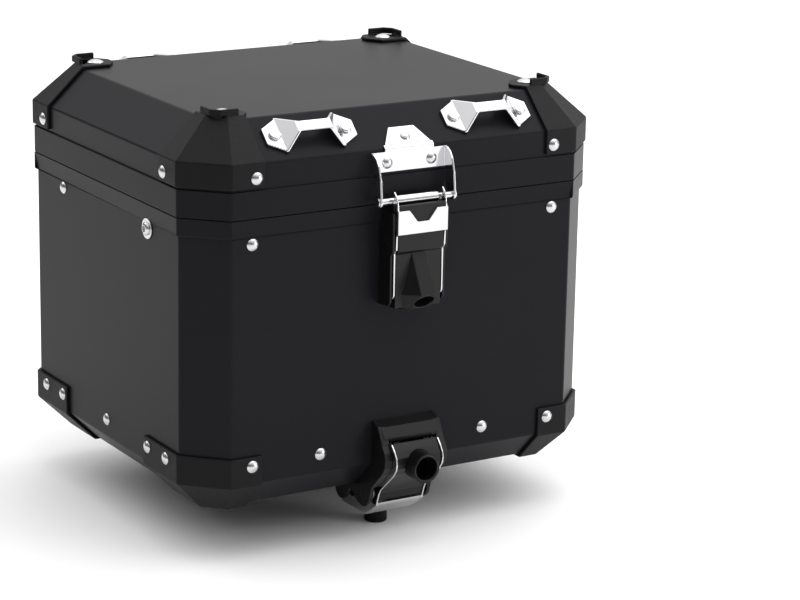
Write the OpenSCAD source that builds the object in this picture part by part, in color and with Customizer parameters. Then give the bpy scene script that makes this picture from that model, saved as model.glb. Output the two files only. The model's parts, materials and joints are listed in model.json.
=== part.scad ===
// Top case: an octagonal riveted luggage box with a hinged lid, a pull latch
// at the front and a quick-release lock under its front edge.
// Millimetres. +Z is up, the latch faces -Y, the hinges are at +Y.
// The origin is the centre of the base plate's underside.

/* [Case] */
// Width over the rims, left to right
case_w = 410; // [400:1:420]
// Depth over the rims, latch side to hinge side
case_d = 354; // [344:1:364]
// Leg of the plan's corner chamfers at the rims
corner_c = 33.9; // [30:0.1:38]
// Height of the lid seam above the underside of the shell
seam_z = 259.3; // [250:0.1:270]
// How far the rim frames stand proud of the case walls
rim_proud = 2.6; // [2:0.1:3]
// Height of the case rim frame
rim_h = 16; // [12:0.5:20]
// Height and inset of the 45 degree bevel round the bottom
bevel = 27; // [22:0.5:30]
// Sheet thickness of the case and the lid
wall = 2; // [1.5:0.1:2.5]

/* [Lid] */
// Height of the lid's rim frame above the seam
band_h = 24.3; // [22:0.1:28]
// Height of the lid's walls above the seam, up to the slopes
lid_wall_h = 46.8; // [44:0.1:50]
// Rise of the lid's slopes
slope_h = 31.6; // [28:0.1:35]
// Inset of the lid's slopes, from wall to flat top
slope_in = 33.7; // [30:0.1:38]
// Inset of the lid's walls from the rim frame
lid_inset = 1.8; // [1.5:0.1:2.2]

/* [Corner guards] */
// Thickness of the moulded corner guards
guard_t = 3; // [2.5:0.1:3.5]
// Distance from the middle to the upper guards' front edges
guard_x = 140.5; // [136:0.5:146]
// Distance from the middle to the upper guards' side edges
guard_y = 110.5; // [106:0.5:116]
// Height of the raised lip on each upper guard
lip_h = 5.8; // [4:0.2:7]
// Distance from the middle to the lower guards' front edges
foot_x = 141; // [138:0.5:146]
// Distance from the middle to the lower guards' side edges
foot_y = 79; // [76:0.5:84]
// Height of the lower guards' top edge
foot_z = 51.6; // [48:0.2:56]
// Radius of the rivet heads
rivet_r = 5.6; // [5:0.1:7]

/* [Tie-down handles] */
// Distance from the middle to a handle's middle
handle_x = 88; // [84:0.5:96]
// Length of one handle
handle_l = 87; // [84:0.5:92]
// Height of the bar above the lid's slope
handle_h = 14; // [12:0.5:16]
// Width of the bar
bar_w = 10; // [8:0.5:12]

/* [Latch] */
// Distance of the keeper rod in front of the middle
rod_y = 189; // [188.8:0.1:189.2]
// Height of the keeper rod above the shell's underside
rod_z = 264; // [263.8:0.1:264.2]
// Radius of the keeper rod
rod_r = 3; // [2.5:0.1:3]
// Radius of the roller on the keeper rod
roller_r = 4.7; // [4.4:0.1:4.7]
// Radius of the bore for the latch's lock cylinder
latch_bore_r = 8.5; // [7:0.5:8.5]

/* [Release lock] */
// Outer radius of the tube for the release lock's cylinder
tube_r = 13; // [12:0.5:13]
// Radius of the bore in that tube
tube_bore_r = 10.5; // [9:0.5:10.5]
// Radius of the rubber buffers under the case
buffer_r = 10.1; // [9:0.1:11]
// Depth of the buffers' lower ends below the shell's underside
buffer_low = 44.5; // [42:0.5:48]

/* [Base plate] */
// Thickness of the base plate under the shell
base_t = 6; // [5:0.5:8]
// Spacing of the base plate's holes, left to right
hole_dx = 160; // [150:1:170]
// Spacing of the base plate's holes, front to back
hole_dy = 120; // [110:1:130]
// Radius of the base plate's holes
hole_r = 3.25; // [2.75:0.25:3.5]

/* [Hidden] */

BLACK = [0.10, 0.10, 0.11];
DARK = [0.06, 0.06, 0.065];
STEEL = [0.86, 0.86, 0.88];
RUBBER = [0.03, 0.03, 0.035];
ZINC = [0.62, 0.63, 0.65];

// Half sizes of the rims and of the walls
hw = case_w / 2;
hd = case_d / 2;
sw = hw - rim_proud;
sd = hd - rim_proud;
lw = hw - lid_inset;
ld = hd - lid_inset;
// How much a 45 degree corner's leg changes per millimetre of inset
leg_k = 2 - sqrt(2);
shell_top = seam_z - 2.3;
rim_top = seam_z - 0.3;
band_z = seam_z + 0.3;
band_top = seam_z + band_h;
lid_wall_z = seam_z + lid_wall_h;
lid_top = lid_wall_z + slope_h;
slope_len = sqrt(slope_h * slope_h + slope_in * slope_in);
slope_ang = atan2(slope_h, slope_in);
// Where a handle's middle lies along the slope, from its lower edge
handle_s = 24;
strap_t = 3;
foot_w = 34.6;
// Hinge axis and its knuckles
hinge_y = hd + 8;
hinge_z = seam_z;
hinge_x = 110;
knuckle_r = 4.8;
hinge_pin_r = 2.5;
fit = 0.05;
// Latch pivots: the lever's own pin and the link to the hook
lever_y = -189;
lever_z = 228;
link_y = -186;
link_z = 200;
pin_r = 2.5;
latch_in = 22.7;
hook_in = 23.2;
hook_t = 1.5;
base_in = 25.2;
base_wall = 2.2;
// Release lock pivots
rel_y = -187;
rel_z = 44.5;
claw_y = -158;
claw_z = -6;
cheek_in = 22.5;
cheek_t = 1.5;
house_in = 28;
house_out = 31.5;
tube_z = 28.8;
tube_front = -215.8;
// Top of the sloping bracket's seat, and the places of the buffers
seat_z = -26.5;
front_buffer = [0, -131];
rear_buffer = [70, 90];
// Heights of the rivet rows above the shell's underside
row_top = 237;
row_low = 43;
row_lid = 294;
// Place and washer radius of the stays' screws
stay_y = 84;
stay_r = 9;

// ---------- helpers ----------

module up(z) { translate([0, 0, z]) children(); }

// Everything is drawn from the shell's underside and then raised by the base plate.
module raised() { up(base_t) children(); }

// Mirrors its children into the other side as well
module both_sides() {
    children();
    mirror([1, 0, 0]) children();
}

// Plan outline: a rectangle with chamfered corners
function plan(w, d, c) = [[w - c, -d], [w, c - d], [w, d - c], [w - c, d],
    [c - w, d], [-w, d - c], [-w, c - d], [c - w, -d]];

function level(w, d, c, z) = [for (p = plan(w, d, c)) [p[0], p[1], z]];

// Solid between chamfered outlines stacked at rising heights
module stack(levels) {
    n = len(levels);
    polyhedron(
        points = [for (l = levels) each l],
        faces = concat(
            [[for (i = [0:7]) i]],
            [[for (i = [7:-1:0]) (n - 1) * 8 + i]],
            [for (k = [0:n - 2], i = [0:7])
                [k * 8 + i, (k + 1) * 8 + i, (k + 1) * 8 + (i + 1) % 8, k * 8 + (i + 1) % 8]]));
}

// Outline at height z, shifted outwards by s from the given half sizes
function ring(w, d, s, z) = level(w + s, d + s, corner_c + (w - hw + s) * leg_k, z);

module block(x, y, z) {
    translate([x[0], y[0], z[0]]) cube([x[1] - x[0], y[1] - y[0], z[1] - z[0]]);
}

// Extrudes a (y, z) outline between two x values
module side_plate(x0, x1, pts) {
    translate([x0, 0, 0]) rotate([90, 0, 90]) linear_extrude(x1 - x0) polygon(pts);
}

module rod_x(x0, x1, y, z, r) {
    translate([x0, y, z]) rotate([0, 90, 0]) cylinder(r = r, h = x1 - x0, $fn = 48);
}

// Arc of points round (y, z), from angle a0 to a1 in n steps
function arc(y, z, r, a0, a1, n) =
    [for (i = [0:n]) let (a = a0 + (a1 - a0) * i / n) [y + r * cos(a), z + r * sin(a)]];

// Domed head, standing on the XY plane
module dome(r, h) {
    big = (r * r + h * h) / (2 * h);
    intersection() {
        up(h - big) sphere(r = big, $fn = 48);
        cylinder(r = r, h = h, $fn = 48);
    }
}

// Places children on a wall: side 0 front, 1 right, 2 rear, 3 left
module on_wall(side, along, z, off) {
    rotate([0, 0, side * 90]) translate([along, -off, z]) rotate([90, 0, 0]) children();
}

module rivet() { dome(rivet_r, 2.8); }

// ---------- case body ----------

// Outer solid of the case shell, shifted outwards by s
module case_solid(s, top) {
    k = s * (sqrt(2) - 1);
    stack([ring(sw, sd, -bevel + k, -s), ring(sw, sd, s, bevel - k), ring(sw, sd, s, top)]);
}

module case_shell() raised() color(BLACK) difference() {
    case_solid(0, shell_top);
    case_solid(-wall, shell_top + 1);
}

module frame_ring(w, d, outer, inner, z0, z1) {
    difference() {
        stack([ring(w, d, outer, z0), ring(w, d, outer, z1)]);
        stack([ring(w, d, inner, z0 - 1), ring(w, d, inner, z1 + 1)]);
    }
}

// Reaches in from each corner of the plan past its chamfer
module corner_zone(low) {
    for (x = [0, 1], y = [0, 1]) mirror([x, 0, 0]) mirror([0, y, 0])
        block([hw - corner_c - 1, hw + 1], [hd - corner_c - 1, hd + 1], [low - 1, rim_top + 1]);
}

// The walls flare out to the rim, which keeps its full height at the corners only
module case_rim() raised() color(BLACK) {
    edge = 1.2;
    flare = 0.12;
    low = rim_top - rim_h;
    difference() {
        union() {
            stack([ring(sw, sd, flare, low), ring(hw, hd, 0, rim_top)]);
            intersection() {
                stack([ring(hw, hd, -edge, low), ring(hw, hd, 0, low + edge), ring(hw, hd, 0, rim_top)]);
                corner_zone(low);
            }
        }
        stack([ring(sw, sd, 0, low - 1), ring(sw, sd, 0, shell_top)]);
        stack([ring(sw, sd, -wall - 2, low - 2), ring(sw, sd, -wall - 2, rim_top + 1)]);
        // Room for the stays' screws
        both_sides() on_wall(3, stay_y, row_top, sw) cylinder(r = stay_r + 0.4, h = 8, $fn = 48);
    }
    frame_ring(sw, sd, -wall, -wall - 2, shell_top - 10, shell_top);
}

module base_plate() color(BLACK) difference() {
    hull() for (x = [-1, 1], y = [-1, 1])
        translate([x * 112, y * 117 + 12, 0]) cylinder(r = 8, h = base_t, $fn = 32);
    for (x = [-1, 1], y = [-1, 1])
        translate([x * hole_dx / 2, y * hole_dy / 2, -1]) cylinder(r = hole_r, h = base_t + 2, $fn = 48);
    // Room for the release bracket's tail
    translate([-house_out - 1, -120, -1]) cube([2 * house_out + 2, 24, base_t + 2]);
}

// Screw heads inside the shell that hold the base plate
module base_bolts() raised() color(ZINC) for (x = [-1, 1], y = [-85, 12, 109])
    translate([x * 104, y, wall]) cylinder(r = 6, h = 3.4, $fn = 6);

// Lower corner guard for the corner at +X, +Y
module base_guard() raised() color(DARK) intersection() {
    difference() {
        case_solid(guard_t, foot_z);
        case_solid(0, foot_z + 1);
    }
    up(-10) linear_extrude(100) polygon([[foot_x, 400], [foot_x, 122], [158, 98], [158, foot_y],
        [400, foot_y], [400, 400]]);
}

module base_guard_rear_right() base_guard();
module base_guard_rear_left() mirror([1, 0, 0]) base_guard();
module base_guard_front_right() mirror([0, 1, 0]) base_guard();
module base_guard_front_left() mirror([0, 1, 0]) mirror([1, 0, 0]) base_guard();

module case_rivets() raised() color(STEEL) {
    for (side = [0, 2], m = [-1, 1]) {
        on_wall(side, m * 150, row_top, sd) rivet();
        on_wall(side, m * 82.5, row_low, sd) rivet();
        on_wall(side, m * 150.5, row_low, sd + guard_t) rivet();
    }
    for (side = [1, 3]) {
        on_wall(side, 0, row_low, sw) rivet();
        on_wall(side, (side == 1 ? 1 : -1) * 86, row_top, sw) rivet();
        for (m = [-1, 1], y = [87, 122]) on_wall(side, m * y, row_low, sw + guard_t) rivet();
    }
}

// Screws with broad washers at the front of both side walls, for the lid's stays
module stay_screws() raised() color(STEEL) both_sides() on_wall(3, stay_y, row_top, sw) {
    cylinder(r = stay_r, h = 1.2, $fn = 48);
    difference() {
        up(1.2) dome(6.2, 3);
        up(2.2) cylinder(r = 2.6, h = 3, $fn = 6);
    }
}

// ---------- hinges ----------

module case_hinge(x) raised() color(STEEL) translate([x, 0, 0]) difference() {
    union() {
        block([-30, 30], [sd, hd], [208, rim_top - rim_h - 0.5]);
        block([-30, 30], [hd, hd + 2], [208, hinge_z - 0.6]);
        for (m = [-1, 1]) {
            rod_x(m > 0 ? 10 : -30, m > 0 ? 30 : -10, hinge_y, hinge_z, knuckle_r);
            block([m > 0 ? 10 : -30, m > 0 ? 30 : -10], [hd, hinge_y], [hinge_z - knuckle_r, hinge_z - 1.6]);
        }
    }
    rod_x(-31, 31, hinge_y, hinge_z, hinge_pin_r + fit);
}
module case_hinge_left() case_hinge(-hinge_x);
module case_hinge_right() case_hinge(hinge_x);

module hinge_pins() raised() color(ZINC) for (x = [-hinge_x, hinge_x]) {
    rod_x(x - 31, x + 31, hinge_y, hinge_z, hinge_pin_r);
    for (m = [-1, 1]) rod_x(x + m * 31.6 - 0.6, x + m * 31.6 + 0.6, hinge_y, hinge_z, 3.8);
}

module lid_hinge(x) raised() color(STEEL) translate([x, 0, 0]) difference() {
    union() {
        block([-30, 30], [hd, hd + 2], [hinge_z + 3.4, lid_wall_z - 3]);
        block([-30, 30], [ld, hd], [band_top + 0.4, lid_wall_z - 3]);
        rod_x(-9.7, 9.7, hinge_y, hinge_z, knuckle_r);
        block([-9.7, 9.7], [hd + 0.5, hinge_y], [hinge_z + 1.6, hinge_z + knuckle_r]);
    }
    rod_x(-31, 31, hinge_y, hinge_z, hinge_pin_r + fit);
}
module lid_hinge_left() lid_hinge(-hinge_x);
module lid_hinge_right() lid_hinge(hinge_x);

module hinge_rivets(rows) raised() color(STEEL)
    for (x = [-1, 1], m = [-1, 1], z = rows) on_wall(2, x * hinge_x + m * 19, z, hd + 2) dome(4.5, 2);

module case_hinge_rivets() hinge_rivets([218, 238]);
module lid_hinge_rivets() hinge_rivets([273, 292]);

// ---------- lid ----------

// Half size shift of the slope at height z when the surface is shifted outwards by s
function slope_shift(z, s) = s * slope_len / slope_h - (z - lid_wall_z) * slope_in / slope_h;

module lid_solid(s, low) {
    knee = lid_wall_z + s * (slope_len / slope_h - 1) * slope_h / slope_in;
    stack([ring(lw, ld, s, low), ring(lw, ld, s, knee),
        ring(lw, ld, slope_shift(lid_top + s, s), lid_top + s)]);
}

module lid_shell() raised() color(BLACK) difference() {
    lid_solid(0, band_z + 4.4);
    lid_solid(-wall, band_z);
}

// Frame round the lid's lower edge, with a groove for the seal
module lid_rim() raised() color(BLACK) {
    frame_ring(hw, hd, 0, -lid_inset, band_z, band_top);
    difference() {
        frame_ring(hw, hd, -lid_inset, -8, band_z, band_z + 4.4);
        frame_ring(hw, hd, -2.6, -6.6, band_z - 1, band_z + 3);
    }
    frame_ring(hw, hd, -lid_inset - wall, -lid_inset - wall - 2, band_z + 4.4, band_z + 16);
}

module lid_seal() raised() color(RUBBER) frame_ring(hw, hd, -2.6, -6.6, seam_z, band_z + 3);

// Upper corner guard for the corner at +X, +Y
module lid_guard() raised() color(DARK) {
    intersection() {
        difference() {
            lid_solid(guard_t, band_top + 2);
            lid_solid(0, band_top);
        }
        up(200) linear_extrude(200) polygon([[guard_x, 400], [guard_x, 141], [134, 133], [134, 124],
            [144, guard_y], [400, guard_y], [400, 400]]);
    }
    up(lid_top + guard_t) linear_extrude(lip_h) polygon([[146, 142.3], [163.3, 142.3], [170.3, 135.3],
        [170.3, 118], [167.3, 118], [167.3, 134.1], [162.1, 139.3], [146, 139.3]]);
}

module lid_guard_rear_right() lid_guard();
module lid_guard_rear_left() mirror([1, 0, 0]) lid_guard();
module lid_guard_front_right() mirror([0, 1, 0]) lid_guard();
module lid_guard_front_left() mirror([0, 1, 0]) mirror([1, 0, 0]) lid_guard();

module guard_bolts() raised() color(STEEL) for (x = [-1, 1], y = [-1, 1])
    translate([x * 152, y * 124, lid_top + guard_t]) dome(7.5, 3);

module lid_rivets() raised() color(STEEL) {
    for (side = [0, 2], m = [-1, 1]) on_wall(side, m * 148, row_lid, ld + guard_t) rivet();
    for (side = [1, 3], m = [-1, 1]) on_wall(side, m * 120, row_lid, lw + guard_t) rivet();
}

// ---------- tie-down handles ----------

// Point (y, z) on the front slope, s up it and h out of it
function slope_at(s, h) = [-ld + s * cos(slope_ang) - h * sin(slope_ang),
    lid_wall_z + s * sin(slope_ang) + h * cos(slope_ang)];

// Puts children on the front slope: X along, +Y up the slope, +Z out of it
module on_slope() {
    translate([0, -ld, lid_wall_z]) rotate([slope_ang, 0, 0]) children();
}

// One end of a handle: a six-sided foot and a riser that narrows to the bar
module handle_end() {
    half = handle_l / 2;
    fold = half - 17;
    bar_end = fold - 11;
    linear_extrude(strap_t) polygon([[fold, -foot_w / 2], [half, -7.8], [half, 7.8], [fold, foot_w / 2]]);
    hull() {
        translate([fold - 0.2, -foot_w / 2, 0]) cube([2.5, foot_w, strap_t]);
        translate([bar_end - 1.6, -bar_w / 2, handle_h - strap_t]) cube([2.5, bar_w, strap_t]);
    }
}

module tie_handle() color(STEEL) difference() {
    union() {
        both_sides() handle_end();
        translate([-16, -bar_w / 2, handle_h - strap_t]) cube([32, bar_w, strap_t]);
    }
    // Keeps the underside of the risers open
    hull() {
        translate([-27.2, -30, -1]) cube([54.4, 60, 0.5]);
        translate([-12.6, -30, handle_h - strap_t - 0.01]) cube([25.2, 60, 0.01]);
    }
}

module handle_at(x) { on_slope() translate([x, handle_s, 0]) tie_handle(); }

module tie_handle_front_left() raised() handle_at(-handle_x);
module tie_handle_front_right() raised() handle_at(handle_x);
module tie_handle_rear_left() raised() rotate([0, 0, 180]) handle_at(handle_x);
module tie_handle_rear_right() raised() rotate([0, 0, 180]) handle_at(-handle_x);

module at_handle_bolts() for (turn = [0, 180], x = [-1, 1], e = [-1, 1])
    rotate([0, 0, turn]) on_slope() translate([x * handle_x + e * 34, handle_s, 0]) children();

module handle_bolts() raised() color(STEEL) at_handle_bolts() up(strap_t) dome(5.6, 3);

module handle_nuts() raised() color(ZINC) at_handle_bolts() up(-wall - 5) cylinder(r = 5.8, h = 5, $fn = 6);

// ---------- keeper on the lid ----------

keeper_x = 37.5;
keeper_t = 2;
keeper_low = 286.5;
keeper_high = 304.2;
// Where the tab's outer face meets the plate's outer face, along the slope
fold_s = -keeper_t * (1 - sin(slope_ang)) / cos(slope_ang);

module keeper_plate() raised() color(STEEL) difference() {
    union() {
        block([-keeper_x, keeper_x], [-ld - keeper_t, -ld], [keeper_low, keeper_high]);
        side_plate(-24.4, 24.4, [[-ld - keeper_t, keeper_high - 1], [-ld, keeper_high - 1], [-ld, lid_wall_z],
            slope_at(3, 0), slope_at(3, keeper_t), slope_at(fold_s, keeper_t)]);
        on_slope() linear_extrude(keeper_t) polygon([[-24, 1], [24, 1], [12.5, 20.5], [-12.5, 20.5]]);
        for (m = [0, 1]) mirror([m, 0, 0]) side_plate(keeper_x - keeper_t, keeper_x, concat(
            [[-ld, keeper_low], [-ld, keeper_high], [-ld - 4, 303.6], [-ld - 9, 300.8], [-ld - 13, 295],
                [-ld - 16.6, 283], [-rod_y - 5, rod_z]],
            arc(-rod_y, rod_z, 5, 180, 330, 10), [[-hd - 1.6, 272], [-hd - 1.6, keeper_low]]));
    }
    rod_x(-40, 40, -rod_y, rod_z, rod_r + fit);
}

module keeper_rivets() raised() color(STEEL) {
    for (m = [-1, 1]) on_wall(0, m * 22, 294.6, ld + keeper_t) dome(5, 2.4);
    on_slope() translate([0, 10.5, keeper_t]) dome(5, 2.4);
}

module keeper_rod() raised() color(STEEL) {
    rod_x(-keeper_x - 0.2, keeper_x + 0.2, -rod_y, rod_z, rod_r);
    for (m = [0, 1]) mirror([m, 0, 0]) rod_x(keeper_x + 0.1, keeper_x + 1.3, -rod_y, rod_z, rod_r + 1);
}

module keeper_roller() raised() color(STEEL) difference() {
    rod_x(-20.5, 20.5, -rod_y, rod_z, roller_r);
    rod_x(-21, 21, -rod_y, rod_z, rod_r + fit);
}

// ---------- latch on the case ----------

module latch_base() raised() color(DARK) difference() {
    union() {
        block([-base_in - base_wall, base_in + base_wall], [-sd - 2.5, -sd], [171, rim_top - rim_h - 0.5]);
        both_sides() side_plate(base_in, base_in + base_wall, [[-sd, 171], [-191, 172.5], [-194, 176],
            [-194, 217], [-197.6, 221], [-197.6, 255], [-hd - 0.6, 255], [-hd - 0.6, 241.5], [-sd, 241.5]]);
    }
    rod_x(-40, 40, lever_y, lever_z, pin_r + fit);
}

module latch_base_rivets() raised() color(STEEL)
    for (z = [186, 208]) on_wall(0, 0, z, sd + 2.5) cylinder(r = 3.5, h = 1, $fn = 32);

module lever_pin() raised() color(DARK) rod_x(-27.4, 27.4, lever_y, lever_z, pin_r);

// The lock cylinder enters the face between these two (y, z) corners
nose_tip = [-213, 184];
nose_low = [-198, 168.5];
nose_mid = (nose_tip + nose_low) / 2;
lock_tilt = atan2(nose_low[0] - nose_tip[0], nose_tip[1] - nose_low[1]);

// Wedge on the lever's lower half that carries the lock cylinder
module lever_nose() {
    hull() {
        translate([-7, -195, 216]) cube([14, 1, 2]);
        translate([-16.5, -195, 181]) cube([33, 1, 1]);
        translate([-15, -195, 171]) cube([30, 1, 1]);
        translate([-7.5, nose_tip[0], nose_tip[1]]) cube([15, 0.5, 0.5]);
        translate([-11, nose_low[0], nose_low[1]]) cube([22, 1, 0.5]);
    }
}

module latch_lever() raised() color(DARK) difference() {
    union() {
        side_plate(-latch_in, latch_in, concat(
            [[-195, 170], [-180.5, 170], [-180.5, 224]], arc(lever_y, lever_z, 8.5, 10, 90, 8),
            [[-197.6, 236.5], [-198.6, 235.5], [-198.6, 221], [-195, 218]]));
        lever_nose();
    }
    rod_x(-40, 40, lever_y, lever_z, pin_r + fit);
    rod_x(-40, 40, link_y, link_z, pin_r + fit);
    translate([0, nose_mid[0], nose_mid[1]]) rotate([90 + lock_tilt, 0, 0])
        up(-16) cylinder(r = latch_bore_r, h = 30, $fn = 64);
}

module link_pin() raised() color(DARK) rod_x(-hook_in - hook_t + 0.1, hook_in + hook_t - 0.1,
    link_y, link_z, pin_r);

// Bent steel hook: two cheeks with claws, and a notched web in front
module latch_hook() raised() color(STEEL) {
    both_sides() difference() {
        side_plate(hook_in, hook_in + hook_t, concat(
            [[-200.5, 257.3], [-200.5, 236.5], [-199, 235], [-198.6, 223], [-195.4, 219], [-195.4, 182],
                [-193.5, 179], [-189, 179], [-185, 186]],
            arc(link_y, link_z, 5, -40, 110, 10),
            [[-194, 210], [-194, 257], [-192.4, 260.5], [-192.4, 272.6], [-193.4, 272.8], [-196.6, 269.6],
                [-198.6, 265.5], [-199.4, 261]]));
        rod_x(-40, 40, link_y, link_z, pin_r + fit);
    }
    translate([0, -200.4, 0]) rotate([90, 0, 0]) linear_extrude(1.5) polygon([
        [-hook_in - hook_t, 236.5], [hook_in + hook_t, 236.5], [hook_in + hook_t, 257.3], [13.7, 257.3],
        [5.3, 246.8], [-5.3, 246.8], [-13.7, 257.3], [-hook_in - hook_t, 257.3]]);
}

// Black insert behind the hook's web
module hook_cover() raised() color(DARK) side_plate(-hook_in, hook_in, [[-200.4, 239.6], [-194.4, 239.6],
    [-194.4, 259], [-195.4, 261.6], [-199.2, 261.6], [-200.4, 259.5]]);

// ---------- release lock under the front edge ----------

house_pts = concat(
    [[-sd, 66], [-184.5, 62], [-190.6, 51], [-192, 47], [-196.5, 41], [-198.5, 35], [-197.5, 27.5],
        [-192, 20], [-175, 3.5], [-172, -6]],
    arc(-160, -6, 11.6, 180, 290, 12),
    [[-149, -15], [-145, -10.5], [-141.5, -8], [-137.5, -8], [-134, -11.5]],
    arc(-122, -11.5, 10, 205, 345, 12),
    [[-108, 0], [-sd + bevel, 0], [-sd, bevel]]);

// Front edge of the housing, turned inwards to the steel cheeks
lock_flange = [[-184.5, 62], [-190.6, 51], [-192, 47], [-196.5, 41], [-198.5, 35], [-197.5, 27.5], [-192, 20],
    [-175, 3.5], [-172.8, 5.5], [-190, 22.4], [-194.4, 28.6], [-195.4, 35], [-193.4, 40], [-189.3, 46],
    [-187.9, 50.4], [-182, 61]];

module lock_housing() raised() color(DARK) {
    difference() {
        union() {
            both_sides() side_plate(house_in, house_out, house_pts);
            both_sides() side_plate(cheek_in + cheek_t + 0.1, house_in, lock_flange);
        }
        rod_x(-40, 40, rel_y, rel_z, pin_r + fit);
        rod_x(-40, 40, claw_y, claw_z, pin_r + fit);
    }
    side_plate(-house_in, house_in, [[-sd, 65.2], [-184.9, 61.4], [-190.6, 52.8], [-190, 48.8],
        [-188.5, 48.8], [-188.9, 51.5], [-184, 58.6], [-sd, 62]]);
    both_sides() block([cheek_in + cheek_t, house_in], [-sd - 2.5, -sd], [31, 63]);
}

// Front edge of the steel cheeks: an S from the hood down to the foot plate
lock_edge = [[-195.5, 48.2], [-200.5, 43], [-204.2, 37.5], [-205.2, 32.5], [-204.2, 27], [-199.5, 20.5],
    [-178.5, 1.5], [-175.5, -3], [-172.5, -11.5], [-172, -15]];

module lock_bracket() raised() color(STEEL) {
    difference() {
        both_sides() side_plate(cheek_in, cheek_in + cheek_t, concat(lock_edge,
            [[-153, seat_z - 2], [-114, seat_z - 2], [-112, seat_z], [-112, -0.1],
                [-sd + bevel - 0.04, -0.1], [-sd - 0.1, bevel - 0.04], [-sd - 0.1, 48.2]]));
        rod_x(-40, 40, rel_y, rel_z, pin_r + fit);
        rod_x(-40, 40, claw_y, claw_z, 5.6);
    }
    difference() {
        side_plate(-cheek_in, cheek_in, [[-170.2, -15.2], [-153, seat_z - 2], [-114, seat_z - 2], [-114, seat_z],
            [-152.4, seat_z], [-171.6, -12.6]]);
        translate([front_buffer[0], front_buffer[1], seat_z - 3]) cylinder(r = 3.55, h = 4, $fn = 48);
    }
}

module lock_screws() raised() color(ZINC) both_sides()
    for (z = [36, 56]) on_wall(0, house_in - 2, z, sd + 2.5) cylinder(r = 1.7, h = 1.5, $fn = 32);

module release_pin() raised() color(DARK) rod_x(-house_out, house_out, rel_y, rel_z, pin_r);
module hook_pin() raised() color(DARK) rod_x(-house_out, house_out, claw_y, claw_z, pin_r);

// Torsion spring on the release lever's pin
module release_spring() raised() color(DARK) for (m = [0, 1], i = [0:4]) mirror([m, 0, 0])
    translate([12 + i * 1.5, rel_y, rel_z]) rotate([0, 90, 0])
        rotate_extrude($fn = 32) translate([3.6, 0]) circle(r = 0.6, $fn = 16);

// Curved front lever of the release lock, set a little behind the cheeks' edges
module release_lever() raised() color(DARK) difference() {
    union() {
        side_plate(-cheek_in + 0.4, cheek_in - 0.4, [[-194.3, 48.6], [-199.3, 42.6], [-203, 37.2],
            [-204, 32.5], [-203, 27.5], [-198.6, 21.3], [-177.6, 2.2], [-174.3, -3], [-171.7, -10.6],
            [-169, -9.8], [-171.4, -1.6], [-175, 4], [-196, 23.4], [-199.8, 28.6], [-200.8, 32.5],
            [-199.8, 36.4], [-196.6, 40.8], [-191.4, 46.6]]);
        for (m = [0, 1]) mirror([m, 0, 0]) side_plate(19.6, cheek_in - 0.4, concat(
            arc(rel_y, rel_z, 4.1, 150, -110, 14), [[-192, 30], [-198, 25], [-203, 30], [-203, 37.2],
                [-195.5, 45.5]]));
    }
    rod_x(-40, 40, rel_y, rel_z, pin_r + fit);
    translate([0, -186, tube_z]) rotate([90, 0, 0]) cylinder(r = tube_r, h = 34, $fn = 64);
}

module lock_tube() raised() color(DARK) difference() {
    translate([0, -187.8, tube_z]) rotate([90, 0, 0]) cylinder(r = tube_r, h = -187.8 - tube_front, $fn = 64);
    translate([0, -190, tube_z]) rotate([90, 0, 0]) cylinder(r = tube_bore_r, h = 40, $fn = 64);
}

module release_hook() raised() color(STEEL) difference() {
    union() {
        both_sides() side_plate(25, 27, concat(arc(claw_y, claw_z, 7, 60, 250, 12),
            [[-155, -16.5], [-146, -21], [-137.5, -21.5], [-134.5, -18.5], [-138, -17.2], [-146, -16.6],
                [-149, -12.5], [-150.5, -5], [-153.5, -0.6]]));
        rod_x(-27, 27, claw_y, claw_z, 5);
    }
    rod_x(-40, 40, claw_y, claw_z, pin_r + fit);
}

// ---------- buffers and rear hooks ----------

module at_buffers() {
    translate([front_buffer[0], front_buffer[1], 0]) children();
    for (x = [-1, 1]) translate([x * rear_buffer[0], rear_buffer[1], 0]) children();
}

module buffer_studs() raised() color(ZINC) {
    translate([front_buffer[0], front_buffer[1], seat_z - 2]) cylinder(r = 3.5, h = 6, $fn = 32);
    translate([front_buffer[0], front_buffer[1], seat_z]) cylinder(r = 6.4, h = 4, $fn = 6);
    for (x = [-1, 1]) translate([x * rear_buffer[0], rear_buffer[1], seat_z - 2])
        cylinder(r = 3.5, h = 2 - seat_z - base_t, $fn = 32);
}

module rubber_buffers() raised() color(RUBBER) at_buffers() up(-buffer_low) {
    cylinder(r1 = buffer_r - 1, r2 = buffer_r, h = 1, $fn = 48);
    up(1) cylinder(r = buffer_r, h = buffer_low + seat_z - 3, $fn = 48);
}

module rear_hooks() raised() color(STEEL) for (x = [-1, 1]) translate([x * 40, 0, 0])
    side_plate(-15, 15, [[100, -base_t], [122, -base_t], [122, -9], [111, -9], [111, -18], [130, -18],
        [130, -21], [108, -21], [108, -9], [100, -9]]);

case_shell();
case_rim();
base_plate();
base_bolts();
base_guard_front_left();
base_guard_front_right();
base_guard_rear_left();
base_guard_rear_right();
case_rivets();
stay_screws();
case_hinge_left();
case_hinge_right();
case_hinge_rivets();
hinge_pins();
latch_base();
latch_base_rivets();
lever_pin();
lock_housing();
lock_bracket();
lock_screws();
release_pin();
hook_pin();
release_spring();
buffer_studs();
rubber_buffers();
rear_hooks();
lid_shell();
lid_rim();
lid_seal();
lid_guard_front_left();
lid_guard_front_right();
lid_guard_rear_left();
lid_guard_rear_right();
guard_bolts();
lid_rivets();
tie_handle_front_left();
tie_handle_front_right();
tie_handle_rear_left();
tie_handle_rear_right();
handle_bolts();
handle_nuts();
keeper_plate();
keeper_rivets();
keeper_rod();
keeper_roller();
lid_hinge_left();
lid_hinge_right();
lid_hinge_rivets();
latch_lever();
link_pin();
latch_hook();
hook_cover();
release_lever();
lock_tube();
release_hook();
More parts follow.
